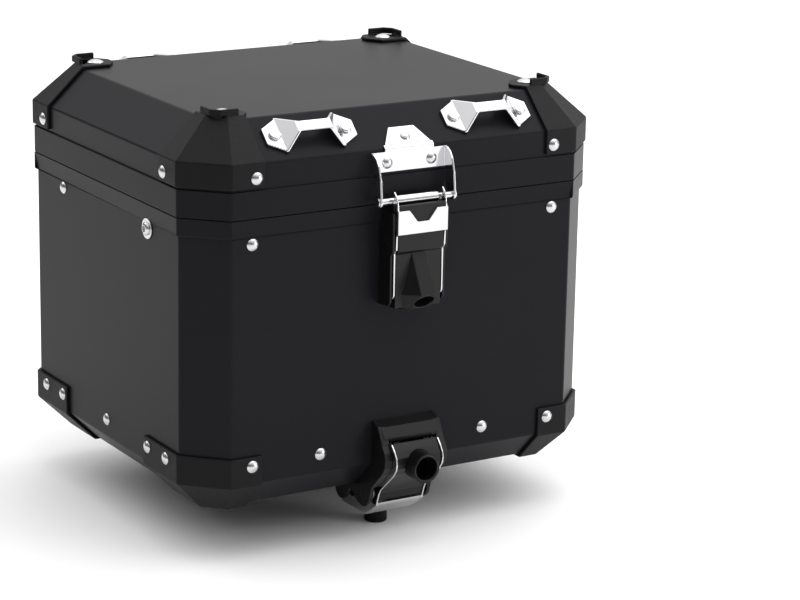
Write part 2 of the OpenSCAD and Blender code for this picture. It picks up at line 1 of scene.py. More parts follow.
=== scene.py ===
"""Motorcycle top case: the visible pieces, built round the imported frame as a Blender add-on."""

import json
import math

import bmesh
import bpy
import numpy as np
from bpy.props import FloatProperty, FloatVectorProperty, IntProperty, PointerProperty
from mathutils import Matrix, Vector


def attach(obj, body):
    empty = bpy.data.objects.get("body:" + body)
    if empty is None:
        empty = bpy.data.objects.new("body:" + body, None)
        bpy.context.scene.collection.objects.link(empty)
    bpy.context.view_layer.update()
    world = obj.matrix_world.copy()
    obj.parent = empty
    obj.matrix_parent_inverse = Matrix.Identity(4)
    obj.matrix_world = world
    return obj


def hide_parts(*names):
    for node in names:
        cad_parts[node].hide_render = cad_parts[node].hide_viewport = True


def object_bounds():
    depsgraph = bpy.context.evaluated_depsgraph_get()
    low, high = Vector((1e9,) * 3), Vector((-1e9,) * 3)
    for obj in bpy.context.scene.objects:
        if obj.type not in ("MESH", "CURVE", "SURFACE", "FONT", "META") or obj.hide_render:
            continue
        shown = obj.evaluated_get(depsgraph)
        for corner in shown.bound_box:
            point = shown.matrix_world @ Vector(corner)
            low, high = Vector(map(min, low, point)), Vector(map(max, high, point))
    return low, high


bl_info = {
    "name": "Top case",
    "version": (1, 0, 0),
    "blender": (4, 5, 0),
    "location": "3D View > Sidebar > Top case",
    "description": "Builds a riveted motorcycle top case round its packed frame",
    "category": "Object",
}

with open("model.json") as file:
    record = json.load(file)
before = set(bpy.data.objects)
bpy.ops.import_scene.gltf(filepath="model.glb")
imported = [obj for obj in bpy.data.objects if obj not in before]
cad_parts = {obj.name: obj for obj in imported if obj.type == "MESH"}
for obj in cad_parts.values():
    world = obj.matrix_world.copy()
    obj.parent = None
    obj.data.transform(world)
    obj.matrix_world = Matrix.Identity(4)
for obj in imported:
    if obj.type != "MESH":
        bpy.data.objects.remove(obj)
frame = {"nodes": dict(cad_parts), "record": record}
CAD_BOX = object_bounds()

MM = 0.001
# Points nearer than this are one point
WELD = 2e-6
# Faces that meet at less than this are one flat face
FLAT_ANGLE = math.radians(0.6)
# Edges that turn more than this are rounded
SHARP_ANGLE = math.radians(8.5)
# A fold between walls turns less than this and is longer than this
FOLD_ANGLE = math.radians(70)
FOLD_LENGTH = 20 * MM
# Edges that meet at less than this run on from each other
CORNER_ANGLE = math.radians(35)
# A rounding smaller than this is left out
FINEST_EDGE = 0.08 * MM
# Share of a neighbouring edge that a rounding may take
ROOM_SHARE = 0.42
# Segments of the roundings that show most
FINE = 4
# How far flat faces outweigh their roundings in the shading
FLAT_WEIGHT = 100
# Edges of round heads that turn more than this stay crisp
CRISP_ANGLE = math.radians(50)
# A ring narrower than this share of a turned solid is its bore
BORE_SHARE = 0.85
# Share of a round solid's height that counts as its end
END_SHARE = 0.05
# Radius and length that count as nothing, and height difference that counts as none
ON_AXIS = 1e-9
NO_LENGTH = 1e-7
SAME_LEVEL = 1e-5
# Share of a neighbouring line that a soft corner may take, and its steps
SOFT_SHARE = 0.4
SOFT_STEPS = 3
# The release spring: thickness and turns of its wire, steps in a turn, and points round the wire
SPRING_WIRE = 0.6 * MM
SPRING_TURNS = 5
COIL_STEPS = 28
WIRE_FACETS = 10
# Half the width of the floor, in metres
FLOOR_REACH = 9.0
# Where the sky is brightest, and how near to it the light is full
SKY_DIRECTION = (0.30, 0.10, 0.95)
SKY_FULL = 0.85

BODY_OF = {
    node: body
    for body, nodes in frame["record"]["behaviour"]["bodies"].items()
    for node in nodes
}
SLOT_OF = {part["node"]: part["material_slot"] for part in frame["record"]["subparts"]}
FINISH_NAMES = {}


# ---------- what a user would change ----------

def length(name, description, default, top=20 * MM):
    """A length property in metres."""
    return FloatProperty(name=name, description=description, default=default, min=0.0, max=top,
                         precision=5, unit="LENGTH")


def colour(name, description, default):
    """A colour property."""
    return FloatVectorProperty(name=name, description=description, default=default, min=0.0, max=1.0,
                               size=3, subtype="COLOR")


class CASE_PG_forming(bpy.types.PropertyGroup):
    """How far each kind of edge is rounded."""

    fold: length("Sheet folds", "Rounding of the folds between the case's flat walls", 1.7 * MM)
    sheet_edge: length("Sheet edges", "Rounding of the cut edges of the aluminium sheet", 0.5 * MM)
    rim_edge: length("Rim edges", "Rounding of the rim frames' edges", 0.7 * MM)
    guard_edge: length("Guard edges", "Rounding of the moulded corner guards", 1.1 * MM)
    steel_edge: length("Steel edges", "Rounding of the pressed steel parts", 0.45 * MM)
    handle_edge: length("Handle edges", "Rounding of the tie-down handles", 0.9 * MM)
    plastic_edge: length("Plastic edges", "Rounding of the latch and lock mouldings", 0.7 * MM)
    pin_edge: length("Pin edges", "Rounding at the ends of pins and tubes", 0.4 * MM)
    head_turn: IntProperty(name="Head facets", description="Points round each rivet head",
                           default=48, min=16, max=128)
    lathe_turn: IntProperty(name="Pin facets", description="Points round each pin, tube and buffer",
                            default=72, min=16, max=128)


class CASE_PG_colours(bpy.types.PropertyGroup):
    """The colours of the finishes."""

    coat: colour("Powder coat", "Matt black coat on the sheet", (0.0095, 0.0091, 0.0112))
    rim: colour("Rim frames", "Black frames round the seam", (0.0090, 0.0086, 0.0106))
    guard: colour("Corner guards", "Grained black plastic", (0.0040, 0.0038, 0.0050))
    latch: colour("Latch mouldings", "Smooth black plastic", (0.0040, 0.0040, 0.0044))
    steel: colour("Polished steel", "Handles, keeper and hook", (0.68, 0.68, 0.695))
    rivet: colour("Rivets", "Rivet and screw heads", (0.60, 0.60, 0.61))
    zinc: colour("Zinc", "Plated pins, nuts and springs", (0.56, 0.57, 0.58))
    rubber: colour("Rubber", "Buffers and seal", (0.004, 0.004, 0.004))


class CASE_PG_studio(bpy.types.PropertyGroup):
    """Camera and light."""

    azimuth: FloatProperty(name="Azimuth", description="Turn of the camera round the case",
                           default=math.radians(-31.45), subtype="ANGLE")
    elevation: FloatProperty(name="Elevation", description="Height of the camera above the horizon",
                             default=math.radians(15.41), subtype="ANGLE")
    roll: FloatProperty(name="Roll", description="Tilt of the camera about its own line of sight",
                        default=math.radians(1.1), subtype="ANGLE")
    distance: length("Distance", "From the camera to the point it looks at", 2.67327, 10.0)
    aim: FloatVectorProperty(name="Aim", description="Point the camera looks at", subtype="TRANSLATION",
                             default=(0.10152, 0.0, 0.12075))
    lens: FloatProperty(name="Lens", description="Focal length in millimetres", default=128.16, min=10.0)
    sky: FloatProperty(name="Sky", description="Strength of the light from above", default=1.42, min=0.0)
    dusk: FloatProperty(name="Dusk", description="Strength of the light low down", default=0.14, min=0.0)
    overhead: FloatProperty(name="Overhead", description="Power of the softbox above, in watts",
                            default=23.0, min=0.0)
    side: FloatProperty(name="Side", description="Power of the softbox at the left, in watts",
                        default=12.5, min=0.0)
    rear: FloatProperty(name="Rear", description="Power of the softbox behind the case, in watts",
                        default=1.2, min=0.0)
    front: FloatProperty(name="Front", default=15.0, min=0.0,
                         description="Power of the small softbox at the front right, in watts")
    floor: colour("Floor", "Colour of the floor", (0.97, 0.97, 0.97))


# ---------- shader maths ----------

class Wire:
    """A value in a material. Arithmetic on it adds the Math nodes."""

    def __init__(self, finish, socket):
        self.finish = finish
        self.socket = socket

    def _maths(self, operation, *values):
        return self.finish.node("ShaderNodeMath", {"operation": operation}, dict(enumerate(values)))

    def __add__(self, other):
        return self._maths("ADD", self, other)

    def __radd__(self, other):
        return self._maths("ADD", other, self)

    def __sub__(self, other):
        return self._maths("SUBTRACT", self, other)

    def __rsub__(self, other):
        return self._maths("SUBTRACT", other, self)

    def __mul__(self, other):
        return self._maths("MULTIPLY", self, other)

    def __rmul__(self, other):
        return self._maths("MULTIPLY", other, self)

    def between(self, low, high):
        """0 below low, 1 above high, and smooth between them."""
        return self.finish.node("ShaderNodeMapRange", {"interpolation_type": "SMOOTHSTEP"},
                                {"Value": self, "From Min": low, "From Max": high})


class Finish:
    """A material being made: its nodes, and the shader they feed."""

    def __init__(self, name, **constants):
        self.material = bpy.data.materials.new(name)
        self.material.use_nodes = True
        self.tree = self.material.node_tree
        self.tree.nodes.clear()
        shader = self.tree.nodes.new("ShaderNodeBsdfPrincipled")
        output = self.tree.nodes.new("ShaderNodeOutputMaterial")
        self.tree.links.new(shader.outputs["BSDF"], output.inputs["Surface"])
        self.shader = shader
        for socket, value in constants.items():
            self.set(socket.replace("_", " "), value)
        self.place = self.node("ShaderNodeTexCoord", {}, {}, "Object")

    @staticmethod
    def _find(sockets, key):
        if isinstance(key, int):
            return sockets[key]
        by_id = [s for s in sockets if s.identifier == key]
        return by_id[0] if by_id else sockets[key]

    def _feed(self, socket, value):
        if isinstance(value, Wire):
            self.tree.links.new(value.socket, socket)
        elif socket.type == "RGBA" and len(value) == 3:
            socket.default_value = (*value, 1.0)
        else:
            socket.default_value = value

    def node(self, kind, settings, sockets, output=0):
        """Adds a node with its settings and the values or links of its sockets, and gives one output."""
        made = self.tree.nodes.new(kind)
        for key, value in settings.items():
            setattr(made, key, value)
        for key, value in sockets.items():
            self._feed(self._find(made.inputs, key), value)
        return Wire(self, self._find(made.outputs, output))

    def set(self, socket, value):
        """Sets or links one of the shader's own sockets."""
        self._feed(self.shader.inputs[socket], value)

    def stretched(self, x, y, z):
        """The place on the piece, stretched along the axes, for lines and grain that run one way."""
        return self.node("ShaderNodeVectorMath", {"operation": "MULTIPLY"},
                         {0: self.place, 1: (x, y, z)}, "Vector")

    def noise(self, per_metre, detail=2.0, rough=0.5, at=None):
        """Cloudy noise with so many features to the metre."""
        sockets = {"Vector": at or self.place, "Scale": per_metre, "Detail": detail, "Roughness": rough}
        return self.node("ShaderNodeTexNoise", {}, sockets)

    def cells(self, per_metre):
        """Distance to the nearest of scattered points."""
        return self.node("ShaderNodeTexVoronoi", {"feature": "F1"},
                         {"Vector": self.place, "Scale": per_metre})

    def mixed(self, share, first, second):
        """Colour between first and second."""
        return self.node("ShaderNodeMix", {"data_type": "RGBA"},
                         {"Factor_Float": share, "A_Color": first, "B_Color": second}, "Result_Color")

    def relief(self, height, depth):
        """Raises the surface by height times depth, in metres."""
        bump = self.node("ShaderNodeBump", {}, {"Height": height, "Distance": depth, "Strength": 1.0})
        self.set("Normal", bump)


def tinted(base, factor):
    """A colour made lighter or darker."""
    return tuple(min(1.0, c * factor) for c in base)


# ---------- finishes ----------

def powder_coat(name, base, rough):
    """Matt powder coat: a fine orange peel, specks of pigment and slow changes in sheen."""
    finish = Finish(name, Specular_IOR_Level=0.070)
    clouds = finish.noise(7, 3.0)
    specks = finish.cells(1500).between(0.30, 0.12)
    peel = finish.noise(620, 2.0, 0.55)
    sand = finish.noise(2300, 2.0)
    tone = finish.mixed(clouds, tinted(base, 0.86), tinted(base, 1.16))
    finish.set("Base Color", finish.mixed(specks * 0.35, tone, tinted(base, 3.2)))
    finish.set("Roughness", rough + 0.07 * (clouds - 0.5) + 0.05 * (sand - 0.5))
    finish.relief(peel * 0.7 + sand * 0.3, 0.045 * MM)
    return finish.material


def grained_plastic(name, base):
    """Moulded plastic with a leathery grain, for the corner guards."""
    finish = Finish(name, Specular_IOR_Level=0.16)
    grain = finish.cells(820)
    clouds = finish.noise(11, 3.0)
    valley = grain.between(0.25, 0.62)
    finish.set("Base Color", finish.mixed(valley * 0.8, tinted(base, 0.72), tinted(base, 1.25)))
    finish.set("Roughness", 0.46 + 0.12 * valley + 0.05 * (clouds - 0.5))
    finish.relief(valley, 0.05 * MM)
    return finish.material


def smooth_plastic(name, base):
    """Satin moulding with faint flow marks and fine rubbing."""
    finish = Finish(name, Specular_IOR_Level=0.26)
    clouds = finish.noise(28, 4.0)
    flow = finish.noise(160, 2.0, 0.5, finish.stretched(1.0, 1.0, 0.15))
    rubs = finish.noise(900, 3.0, 0.6, finish.stretched(0.12, 1.0, 1.0)).between(0.60, 0.72)
    tone = finish.mixed(clouds, tinted(base, 0.85), tinted(base, 1.2))
    finish.set("Base Color", finish.mixed(rubs * 0.3, tone, tinted(base, 2.6)))
    finish.set("Roughness", 0.34 + 0.10 * (clouds - 0.5) + 0.08 * rubs)
    finish.relief(flow, 0.03 * MM)
    return finish.material


def polished_steel(name, base, rough, lines):
    """Polished steel: fine lines along the piece, faint smears and a few deeper scratches."""
    finish = Finish(name, Metallic=1.0)
    along = finish.stretched(0.04, 1.0, 1.0)
    brushed = finish.noise(lines, 3.0, 0.6, along)
    smears = finish.noise(45, 4.0)
    scratch = finish.noise(lines * 0.4, 1.0, 0.4, finish.stretched(1.0, 0.06, 1.0)).between(0.70, 0.76)
    finish.set("Base Color", finish.mixed(smears * 0.5, base, tinted(base, 0.90)))
    finish.set("Roughness", rough + 0.10 * (brushed - 0.5) + 0.06 * (smears - 0.5) + 0.10 * scratch)
    finish.relief(brushed * 0.8 - scratch * 0.6, 0.006 * MM)
    return finish.material


def zinc_plate(name, base):
    """Zinc plating: small crystals that catch the light differently."""
    finish = Finish(name, Metallic=1.0)
    crystals = finish.node("ShaderNodeTexVoronoi", {"feature": "F1"},
                           {"Vector": finish.place, "Scale": 1100.0}, "Color")
    grey = finish.node("ShaderNodeRGBToBW", {}, {"Color": crystals})
    haze = finish.noise(120, 3.0)
    share = grey * 0.6 + haze * 0.3
    finish.set("Base Color", finish.mixed(share, tinted(base, 0.80), tinted(base, 1.15)))
    finish.set("Roughness", 0.30 + 0.14 * grey)
    finish.relief(haze, 0.02 * MM)
    return finish.material


def moulded_rubber(name, base, rough):
    """Rubber with a dusty bloom and tiny pits."""
    finish = Finish(name, Specular_IOR_Level=0.15)
    bloom = finish.noise(60, 4.0)
    pits = finish.cells(1300).between(0.10, 0.22)
    finish.set("Base Color", finish.mixed(bloom, tinted(base, 0.7), tinted(base, 1.9)))
    finish.set("Roughness", rough + 0.12 * (bloom - 0.5))
    finish.relief(pits, 0.05 * MM)
    return finish.material


def make_finishes():
    """One material for each material slot of the record."""
    c = bpy.context.scene.case_colours
    return {
        "powder_coat": powder_coat("powder_coat_matt", c.coat, 0.33),
        "frame_black": powder_coat("rim_frame_black", c.rim, 0.34),
        "guard_plastic": grained_plastic("guard_grained_plastic", c.guard),
        "latch_black": smooth_plastic("latch_satin_plastic", c.latch),
        "polished_steel": polished_steel("steel_polished", c.steel, 0.16, 1500),
        "rivet_steel": polished_steel("rivet_steel_bright", c.rivet, 0.24, 2400),
        "zinc": zinc_plate("zinc_plated", c.zinc),
        "buffer_rubber": moulded_rubber("buffer_rubber_matt", c.rubber, 0.72),
        "seal_rubber": moulded_rubber("seal_rubber_soft", c.rubber, 0.82),
    }


# ---------- forming pieces from the frame ----------

def welded(node):
    """The CAD node's surface as a bmesh, with its flat stretches made whole."""
    solid = bmesh.new()
    solid.from_mesh(frame["nodes"][node].data)
    bmesh.ops.remove_doubles(solid, verts=solid.verts, dist=WELD)
    bmesh.ops.dissolve_limit(solid, angle_limit=FLAT_ANGLE, verts=solid.verts, edges=solid.edges)
    bmesh.ops.recalc_face_normals(solid, faces=solid.faces)
    for e in solid.edges:
        e.smooth = True
    return solid


def finished(piece, node):
    """Gives a piece its finish and its body, and lets it stand for the CAD node."""
    slot = SLOT_OF[node]
    piece.data.materials.clear()
    piece.data.materials.append(bpy.data.materials[FINISH_NAMES[slot]])
    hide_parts(node)
    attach(piece, BODY_OF[node])
    return piece


def as_object(solid, name):
    """Turns a bmesh into an object with smooth shading."""
    mesh = bpy.data.meshes.new(name)
    for face in solid.faces:
        face.smooth = True
    solid.to_mesh(mesh)
    solid.free()
    for stale in ("custom_normal", "sharp_face"):
        if stale in mesh.attributes:
            mesh.attributes.remove(mesh.attributes[stale])
    piece = bpy.data.objects.new(name, mesh)
    bpy.context.scene.collection.objects.link(piece)
    return piece


def evened(piece, keep_sharp):
    """Shades a piece so that its flat faces look flat beside their roundings."""
    shading = piece.modifiers.new("flat_faces", "WEIGHTED_NORMAL")
    shading.keep_sharp = keep_sharp
    shading.weight = FLAT_WEIGHT


def room_beside(edge):
    """The widest rounding that fits beside an edge: a share of the edges it would slide along."""
    room = edge.calc_length()
    for corner in edge.verts:
        along = (edge.other_vert(corner).co - corner.co).normalized()
        for face in edge.link_faces:
            for other in corner.link_edges:
                if other is edge or face not in other.link_faces:
                    continue
                aside = (other.other_vert(corner).co - corner.co).normalized()
                if CORNER_ANGLE < along.angle(aside, 0.0) < math.pi - CORNER_ANGLE:
                    room = min(room, ROOM_SHARE * other.calc_length())
    return room


def formed(node, edge, fold=None, segments=3):
    """Builds the piece for a CAD node, with its sharp edges rounded by edge.

    fold is the rounding of the long, blunt folds between walls.
    Edges with too little room beside them stay sharp."""
    solid = welded(node)
    widest = max(edge, fold or 0.0)
    weight = solid.edges.layers.float.new("bevel_weight_edge")
    for e in solid.edges:
        if len(e.link_faces) != 2 or e.calc_face_angle(0.0) <= SHARP_ANGLE:
            continue
        is_fold = fold and e.calc_face_angle(0.0) < FOLD_ANGLE and e.calc_length() > FOLD_LENGTH
        size = min(fold if is_fold else edge, room_beside(e))
        if size < FINEST_EDGE:
            e.smooth = False
        else:
            e[weight] = size / widest
    piece = as_object(solid, f"{node}_formed")
    rounding = piece.modifiers.new("rounded_edges", "BEVEL")
    rounding.limit_method = "WEIGHT"
    rounding.width = widest
    rounding.segments = segments
    rounding.use_clamp_overlap = False
    rounding.miter_outer = "MITER_ARC"
    evened(piece, keep_sharp=True)
    return finished(piece, node)


def islands(node):
    """The separate solids of a CAD node: each one's points as an array."""
    solid = welded(node)
    left = set(solid.verts)
    found = []
    while left:
        start = left.pop()
        group = [start]
        heap = [start]
        while heap:
            for e in heap.pop().link_edges:
                for v in e.verts:
                    if v in left:
                        left.remove(v)
                        group.append(v)
                        heap.append(v)
        found.append(np.array([v.co for v in group]))
    solid.free()
    return sorted(found, key=lambda points: tuple(points.mean(0).round(4)))


def seat_of(points):
    """Where a round solid stands: (matrix to its base, radius, height).

    Its axis points away from the wide end."""
    centre = (points.max(0) + points.min(0)) / 2
    values, vectors = np.linalg.eigh(np.cov((points - points.mean(0)).T))
    odd = 0 if abs(values[1] - values[0]) > abs(values[2] - values[1]) else 2
    axis = vectors[:, odd]
    along = (points - centre) @ axis
    low, high = along.min(), along.max()
    off_axis = points - centre - np.outer(along, axis)
    off_axis -= (off_axis.max(0) + off_axis.min(0)) / 2
    reach = np.linalg.norm(off_axis, axis=1)
    span = high - low
    base_reach = reach[along < low + END_SHARE * span].max()
    top_reach = reach[along > high - END_SHARE * span].max()
    if base_reach < top_reach - 1e-6:
        axis, low, high = -axis, -high, -low
    base = centre + axis * low
    turn = Vector(axis).to_track_quat("Z", "Y").to_matrix().to_4x4()
    return Matrix.Translation(base) @ turn, float(reach.max()), float(high - low)


def turned(solid, profile, matrix, count):
    """Adds a solid of revolution to a bmesh.

    profile is (radius, height) from the base's middle to the top's."""
    angles = [2 * math.pi * i / count for i in range(count)]
    rows = []
    for radius, height in profile:
        if radius < ON_AXIS:
            ring = [Vector((0.0, 0.0, height))]
        else:
            ring = [Vector((radius * math.cos(a), radius * math.sin(a), height)) for a in angles]
        rows.append([solid.verts.new(matrix @ point) for point in ring])
    for low, high in zip(rows, rows[1:]):
        for i in range(count):
            j = (i + 1) % count
            corners = [low[i % len(low)], low[j % len(low)], high[j % len(high)], high[i % len(high)]]
            solid.faces.new(list(dict.fromkeys(corners)))


def dome_profile(radius, height, steps=7):
    """Rivet head: a short upright rim, a dome, and a slightly flattened crown."""
    rim = 0.16 * height
    big = (radius ** 2 + (height - rim) ** 2) / (2 * (height - rim))
    points = [(0.0, 0.0), (radius * 0.985, 0.0), (radius, 0.12 * rim), (radius, rim * 0.8)]
    for i in range(steps + 1):
        r = radius * 0.985 * (1 - i / steps) ** 0.8
        points.append((r, height - big + math.sqrt(big ** 2 - r ** 2)))
    return points


def pan_profile(radius, height, steps=5):
    """Screw head: a steep side, a rounded shoulder and a nearly flat top."""
    soft = 0.55 * height
    points = [(0.0, 0.0), (radius * 0.97, 0.0), (radius, 0.06 * height), (radius * 0.99, height - soft)]
    for i in range(1, steps + 1):
        a = math.pi / 2 * i / steps
        across = radius * 0.99 - soft * (1 - math.cos(a)) * 1.3
        points.append((across, height - soft + soft * 0.94 * math.sin(a)))
    points.append((0.0, height))
    return points


def socket_profile(radius, height):
    """Screw head on a broad washer, with a socket in its middle."""
    hub = 0.66 * radius
    lip = 0.29 * height
    hole = 0.30 * radius
    deep = 0.42 * height
    washer = [(0.0, 0.0), (radius * 0.985, 0.0), (radius, 0.15 * lip), (radius, 0.8 * lip),
              (radius * 0.985, lip), (hub, lip)]
    crown = [(hub, 0.42 * height), (hub * 0.93, 0.68 * height), (hub * 0.78, 0.86 * height),
             (hub * 0.6, 0.97 * height), (hole * 1.12, height)]
    return washer + crown + [(hole, 0.96 * height), (hole, deep), (0.0, deep)]


def heads(node, profile):
    """Builds a group of round heads, one where each of the CAD node's solids is."""
    count = bpy.context.scene.case_forming.head_turn
    group = bmesh.new()
    for points in islands(node):
        matrix, radius, height = seat_of(points)
        turned(group, profile(radius, height), matrix, count)
    bmesh.ops.recalc_face_normals(group, faces=group.faces)
    piece = as_object(group, f"{node}_turned")
    shading = piece.modifiers.new("crisp_rims", "EDGE_SPLIT")
    shading.split_angle = CRISP_ANGLE
    return finished(piece, node)


def rims_of(points, matrix):
    """The round edges of a turned solid, as a set of (radius, height above the base)."""
    local = (np.array(matrix.inverted()) @ np.c_[points, np.ones(len(points))].T).T
    return {(round(math.hypot(x, y), 5), round(float(z), 5)) for x, y, z, _ in local}


def outline_of(rims, hole, widest):
    """The outline of a turned solid: from its axis, round its outside, and back down its bore."""
    top = max(height for _, height in rims)
    outside = sorted(rims - hole, key=lambda rim: rim[1])
    walk = [(0.0, 0.0)]
    while outside:
        level = [rim for rim in outside if rim[1] - outside[0][1] < SAME_LEVEL]
        level.sort(key=lambda rim: abs(rim[0] - (walk[-1][0] or widest)))
        walk.extend(level)
        outside = [rim for rim in outside if rim not in level]
    if not hole:
        return walk + [(0.0, top)]
    radius, low = min(hole, key=lambda rim: rim[1])
    walk += [(radius, top), (radius, low)]
    if low < SAME_LEVEL:
        return walk[1:] + [walk[1]]
    return walk + [(0.0, low)]


def softened(outline, radius):
    """Rounds the corners of an outline with short curves."""
    result = [outline[0]]
    for before, here, after in zip(outline, outline[1:], outline[2:]):
        here_v = Vector(here)
        back, on = Vector(before) - here_v, Vector(after) - here_v
        if here[0] < ON_AXIS or back.length < NO_LENGTH or on.length < NO_LENGTH:
            result.append(here)
            continue
        reach = min(radius, SOFT_SHARE * back.length, SOFT_SHARE * on.length)
        start, end = here_v + back.normalized() * reach, here_v + on.normalized() * reach
        for i in range(SOFT_STEPS + 1):
            t = i / SOFT_STEPS
            result.append(tuple((1 - t) ** 2 * start + 2 * t * (1 - t) * here_v + t ** 2 * end))
    result.append(outline[-1])
    return result


def lathed(node, edge, bored=False):
    """Turns each round solid of a CAD node anew, with softened edges.

    bored is True for tubes and rollers."""
    count = bpy.context.scene.case_forming.lathe_turn
    group = bmesh.new()
    for points in islands(node):
        matrix, widest, _ = seat_of(points)
        rims = rims_of(points, matrix)
        hole = {rim for rim in rims if bored and rim[0] < BORE_SHARE * widest}
        turned(group, softened(outline_of(rims, hole, widest), edge), matrix, count)
    bmesh.ops.remove_doubles(group, verts=group.verts, dist=WELD)
    bmesh.ops.recalc_face_normals(group, faces=group.faces)
    piece = as_object(group, f"{node}_turned")
    evened(piece, keep_sharp=False)
    return finished(piece, node)


def coiled(node, wire, turns):
    """Winds a wire into the space of each half of a coil spring that lies along X."""
    angles = [2 * math.pi * k / WIRE_FACETS for k in range(WIRE_FACETS)]
    points = np.concatenate(islands(node))
    group = bmesh.new()
    for side in (-1, 1):
        half = points[side * points[:, 0] > 0]
        low, high = half.min(0), half.max(0)
        middle = (low + high) / 2
        coil = (high[2] - low[2]) / 2 - wire
        rows = []
        for i in range(turns * COIL_STEPS + 1):
            share = i / (turns * COIL_STEPS)
            angle = 2 * math.pi * turns * share
            out = Vector((0.0, math.cos(angle), math.sin(angle)))
            x = low[0] + wire + share * (high[0] - low[0] - 2 * wire)
            centre = Vector((x, middle[1], middle[2])) + out * coil
            spokes = [math.cos(a) * out + math.sin(a) * Vector((1, 0, 0)) for a in angles]
            rows.append([group.verts.new(centre + wire * spoke) for spoke in spokes])
        for first, second in zip(rows, rows[1:]):
            for k in range(WIRE_FACETS):
                group.faces.new((first[k], first[k - 1], second[k - 1], second[k]))
        group.faces.new(rows[0])
        group.faces.new(rows[-1])
    bmesh.ops.recalc_face_normals(group, faces=group.faces)
    return finished(as_object(group, f"{node}_wound"), node)


# ---------- operators, one for each group of like pieces ----------

class CaseOperator(bpy.types.Operator):
    """Shared settings of the builders."""

    bl_options = {"REGISTER", "UNDO"}

    @property
    def edges(self):
        return bpy.context.scene.case_forming


class CASE_OT_finishes(CaseOperator):
    """Makes the finishes that the pieces share"""

    bl_idname = "top_case.finishes"
    bl_label = "Finishes"

    def execute(self, context):
        FINISH_NAMES.clear()
        for slot, material in make_finishes().items():
            FINISH_NAMES[slot] = material.name
        return {"FINISHED"}


class CASE_OT_sheets(CaseOperator):
    """Folds the case shell and the lid shell, and cuts the base plate"""

    bl_idname = "top_case.sheets"
    bl_label = "Shells and base plate"

    def execute(self, context):
        for node in ("case_shell", "lid_shell"):
            formed(node, self.edges.sheet_edge, self.edges.fold, FINE)
        formed("base_plate", self.edges.rim_edge)
        return {"FINISHED"}


class CASE_OT_rims(CaseOperator):
    """Builds the rim frames on both sides of the seam, and the seal between them"""

    bl_idname = "top_case.rims"
    bl_label = "Rim frames and seal"

    def execute(self, context):
        for node in ("case_rim", "lid_rim"):
            formed(node, self.edges.rim_edge, self.edges.fold, FINE)
        formed("lid_seal", self.edges.guard_edge)
        return {"FINISHED"}


class CASE_OT_guards(CaseOperator):
    """Moulds the eight corner guards"""

    bl_idname = "top_case.guards"
    bl_label = "Corner guards"

    def execute(self, context):
        for place in ("base", "lid"):
            for end in ("front", "rear"):
                for side in ("left", "right"):
                    formed(f"{place}_guard_{end}_{side}", self.edges.guard_edge, segments=FINE)
        return {"FINISHED"}


class CASE_OT_rivets(CaseOperator):
    """Sets the rivets, bolts and screws of the case and the lid"""

    bl_idname = "top_case.rivets"
    bl_label = "Rivets and screws"

    def execute(self, context):
        for node in ("case_rivets", "lid_rivets", "case_hinge_rivets", "lid_hinge_rivets",
                     "keeper_rivets", "guard_bolts"):
            heads(node, dome_profile)
        for node in ("handle_bolts", "latch_base_rivets", "lock_screws"):
            heads(node, pan_profile)
        heads("stay_screws", socket_profile)
        for node in ("handle_nuts", "base_bolts"):
            formed(node, self.edges.pin_edge)
        return {"FINISHED"}


class CASE_OT_handles(CaseOperator):
    """Presses the four tie-down handles"""

    bl_idname = "top_case.handles"
    bl_label = "Tie-down handles"

    def execute(self, context):
        for end in ("front", "rear"):
            for side in ("left", "right"):
                formed(f"tie_handle_{end}_{side}", self.edges.handle_edge)
        return {"FINISHED"}


class CASE_OT_hinges(CaseOperator):
    """Builds the hinge leaves and their pins"""

    bl_idname = "top_case.hinges"
    bl_label = "Hinges"

    def execute(self, context):
        for part in ("case", "lid"):
            for side in ("left", "right"):
                formed(f"{part}_hinge_{side}", self.edges.steel_edge)
        lathed("hinge_pins", self.edges.pin_edge)
        return {"FINISHED"}


class CASE_OT_keeper(CaseOperator):
    """Bends the keeper plate and fits its rod and roller"""

    bl_idname = "top_case.keeper"
    bl_label = "Keeper"

    def execute(self, context):
        formed("keeper_plate", self.edges.steel_edge)
        lathed("keeper_rod", self.edges.pin_edge)
        lathed("keeper_roller", self.edges.pin_edge, bored=True)
        return {"FINISHED"}


class CASE_OT_latch(CaseOperator):
    """Builds the pull latch: base, lever, hook and their pins"""

    bl_idname = "top_case.latch"
    bl_label = "Latch"

    def execute(self, context):
        for node in ("latch_base", "latch_lever", "hook_cover"):
            formed(node, self.edges.plastic_edge)
        formed("latch_hook", self.edges.steel_edge)
        for node in ("lever_pin", "link_pin"):
            lathed(node, self.edges.pin_edge)
        return {"FINISHED"}


class CASE_OT_release_lock(CaseOperator):
    """Builds the quick-release lock under the front edge"""

    bl_idname = "top_case.release_lock"
    bl_label = "Release lock"

    def execute(self, context):
        for node in ("lock_housing", "release_lever"):
            formed(node, self.edges.plastic_edge)
        lathed("lock_tube", self.edges.plastic_edge, bored=True)
        for node in ("lock_bracket", "release_hook"):
            formed(node, self.edges.steel_edge)
        for node in ("release_pin", "hook_pin"):
            lathed(node, self.edges.pin_edge)
        coiled("release_spring", SPRING_WIRE, SPRING_TURNS)
        return {"FINISHED"}


class CASE_OT_underside(CaseOperator):
    """Builds the buffers, their studs and the rear hooks"""

    bl_idname = "top_case.underside"
    bl_label = "Buffers and hooks"

    def execute(self, context):
        formed("buffer_studs", self.edges.pin_edge)
        lathed("rubber_buffers", self.edges.guard_edge)
        formed("rear_hooks", self.edges.steel_edge)
        return {"FINISHED"}


